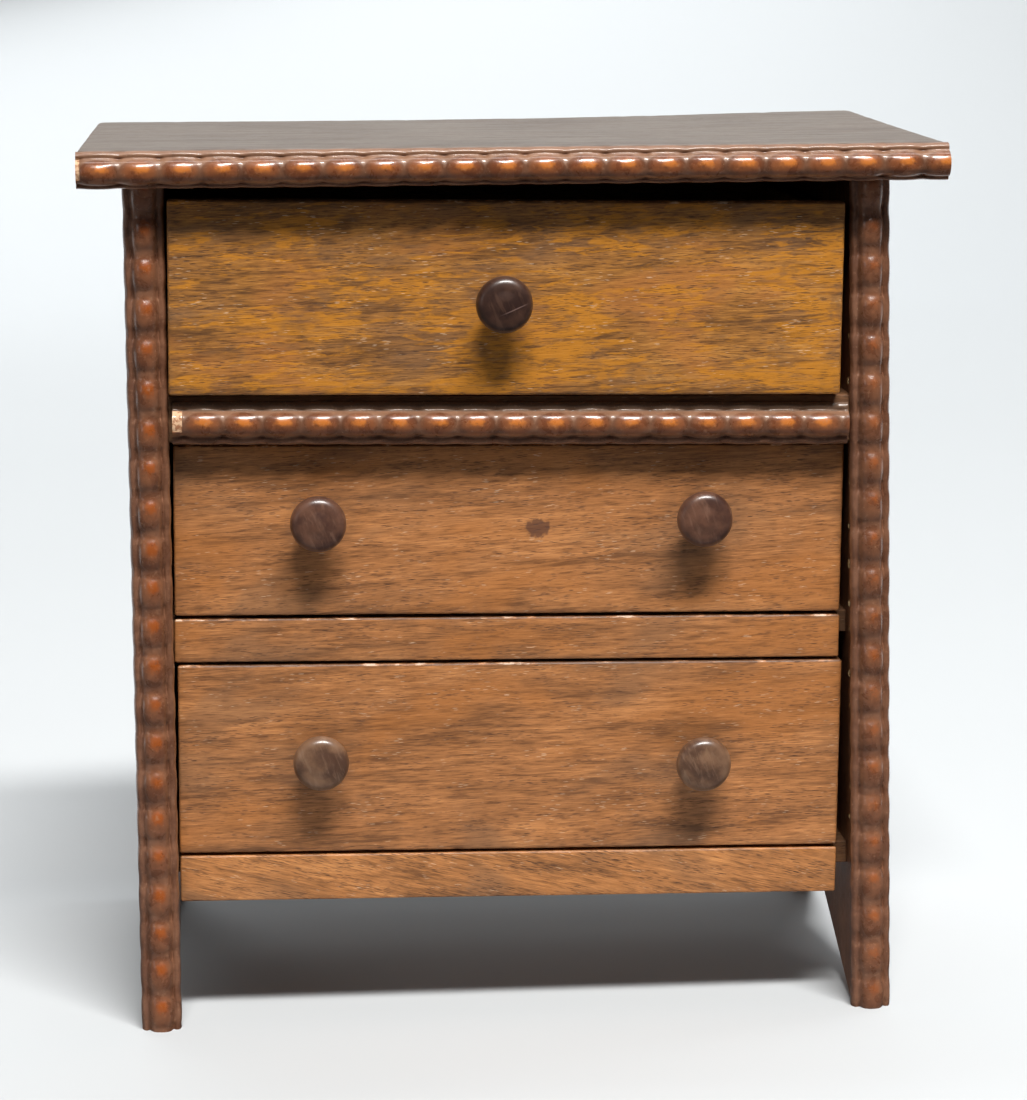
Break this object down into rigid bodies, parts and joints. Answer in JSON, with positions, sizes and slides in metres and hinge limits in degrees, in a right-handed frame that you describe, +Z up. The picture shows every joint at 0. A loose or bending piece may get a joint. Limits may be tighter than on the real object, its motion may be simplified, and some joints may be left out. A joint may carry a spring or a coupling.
{
  "type": "miniature chest of drawers",
  "caption": "Small free-standing wooden chest with sliding drawers, turned knobs, bead mouldings on the top, posts and upper row, and side boards notched into feet.",
  "frame": {"origin": "middle of the footprint, knobs and overhangs included, at floor level", "axes": "+X to the right seen from the front, +Y from the front to the back, +Z up"},
  "size_m": [0.12, 0.0756, 0.1273],
  "materials": {
    "carcass_wood": "thin worn varnish, open grain",
    "top_wood": "dulled satin varnish",
    "moulding_wood": "glossy red-brown varnish, orange where rubbed",
    "front_wood": "satin varnish, open grain",
    "golden_front_wood": "satin varnish, mottled open grain",
    "drawer_box_wood": "bare wood",
    "knob_wood": "dark polished"
  },
  "bodies": {
    "carcass": {"top_board": "top_wood", "top_moulding": "moulding_wood", "left_side": "carcass_wood", "right_side": "carcass_wood", "left_post": "moulding_wood", "right_post": "moulding_wood", "upper_shelf": "carcass_wood", "middle_moulding": "moulding_wood", "lower_shelf": "carcass_wood", "lower_rail": "front_wood", "bottom_board": "carcass_wood", "apron": "front_wood", "back_board": "carcass_wood"},
    "top_drawer": {"top_front": "golden_front_wood", "top_side_left": "drawer_box_wood", "top_side_right": "drawer_box_wood", "top_back": "drawer_box_wood", "top_bottom": "drawer_box_wood", "top_knob": "knob_wood"},
    "middle_drawer": {"middle_front": "front_wood", "middle_side_left": "drawer_box_wood", "middle_side_right": "drawer_box_wood", "middle_back": "drawer_box_wood", "middle_bottom": "drawer_box_wood", "middle_knob_left": "knob_wood", "middle_knob_right": "knob_wood"},
    "bottom_drawer": {"bottom_front": "front_wood", "bottom_side_left": "drawer_box_wood", "bottom_side_right": "drawer_box_wood", "bottom_back": "drawer_box_wood", "bottom_bottom": "drawer_box_wood", "bottom_knob_left": "knob_wood", "bottom_knob_right": "knob_wood"}
  },
  "joints": [
    {"name": "top_drawer_slide", "type": "slide", "parent": "carcass", "child": "top_drawer", "axis": [0, -1, 0], "range_m": [-0.0042, 0.0408]},
    {"name": "middle_drawer_slide", "type": "slide", "parent": "carcass", "child": "middle_drawer", "axis": [0, -1, 0], "range_m": [0, 0.045]},
    {"name": "bottom_drawer_slide", "type": "slide", "parent": "carcass", "child": "bottom_drawer", "axis": [0, -1, 0], "range_m": [0, 0.045]}
  ]
}
